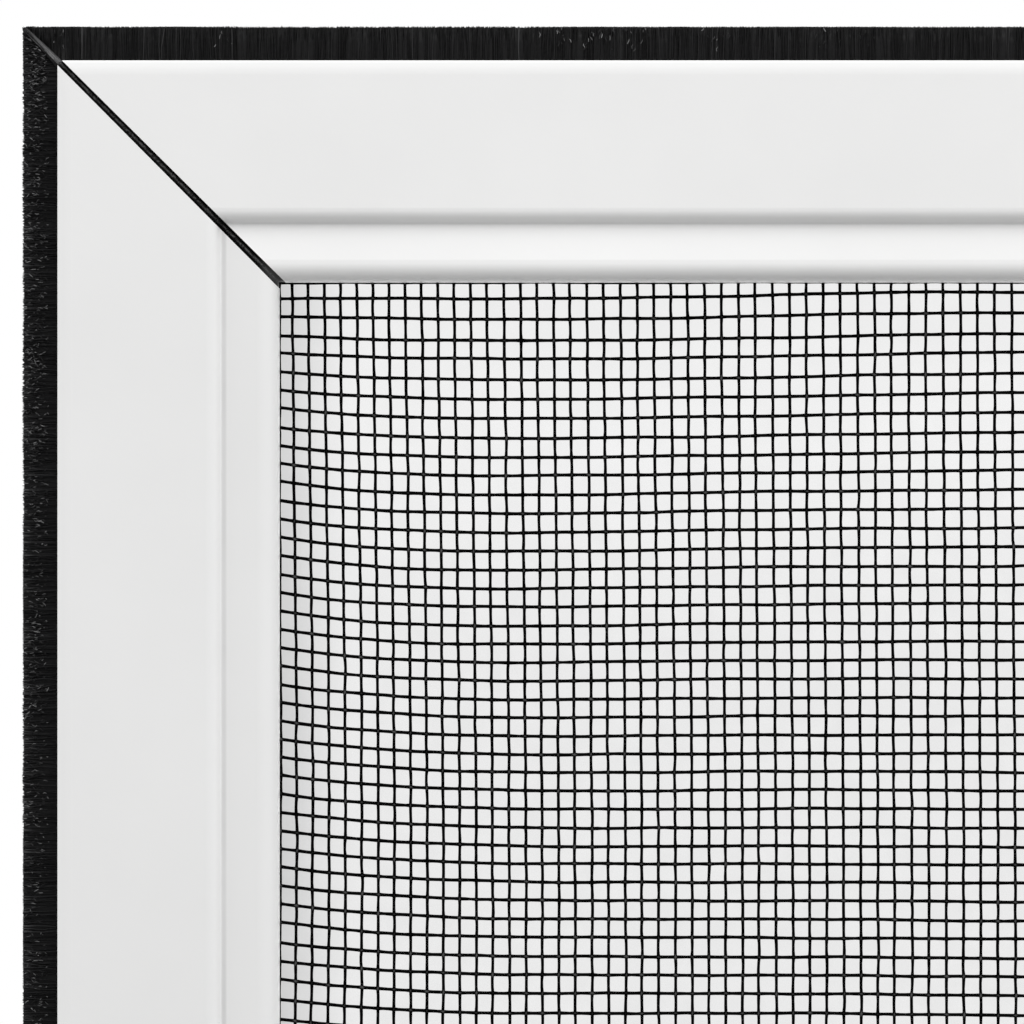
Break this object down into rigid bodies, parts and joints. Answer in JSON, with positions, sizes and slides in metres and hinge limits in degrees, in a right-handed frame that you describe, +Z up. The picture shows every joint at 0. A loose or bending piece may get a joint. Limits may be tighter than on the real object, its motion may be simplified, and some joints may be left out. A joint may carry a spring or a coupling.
{
  "type": "window screen frame",
  "caption": "Insect screen for a window: mitred white aluminium frame with a stepped face, black woven mesh held by a spline, and black brush pile sealing the outer edge.",
  "frame": {"origin": "centre of the whole screen, brush seal included", "axes": "+Z up, +X to the right seen from the front, -Y out of the front face with the stepped lip, +Y out of the back with the spline groove"},
  "size_m": [0.4062, 0.011, 0.506],
  "materials": {
    "white_powder_coat": "satin white powder coat on extruded aluminium",
    "key_plastic": "black moulded nylon",
    "mesh_fibreglass": "black vinyl-coated fibreglass yarn, woven and fused",
    "spline_rubber": "black ribbed rubber cord",
    "brush_backing": "black woven polypropylene strip",
    "brush_pile": "black polypropylene pile"
  },
  "bodies": {
    "root": {"top_rail": "white_powder_coat", "bottom_rail": "white_powder_coat", "left_stile": "white_powder_coat", "right_stile": "white_powder_coat", "top_left_corner_key": "key_plastic", "top_right_corner_key": "key_plastic", "bottom_left_corner_key": "key_plastic", "bottom_right_corner_key": "key_plastic", "screen_mesh": "mesh_fibreglass", "top_spline": "spline_rubber", "bottom_spline": "spline_rubber", "left_spline": "spline_rubber", "right_spline": "spline_rubber", "top_brush_backing": "brush_backing", "bottom_brush_backing": "brush_backing", "left_brush_backing": "brush_backing", "right_brush_backing": "brush_backing", "top_brush_pile": "brush_pile", "bottom_brush_pile": "brush_pile", "left_brush_pile": "brush_pile", "right_brush_pile": "brush_pile"}
  },
  "joints": []
}
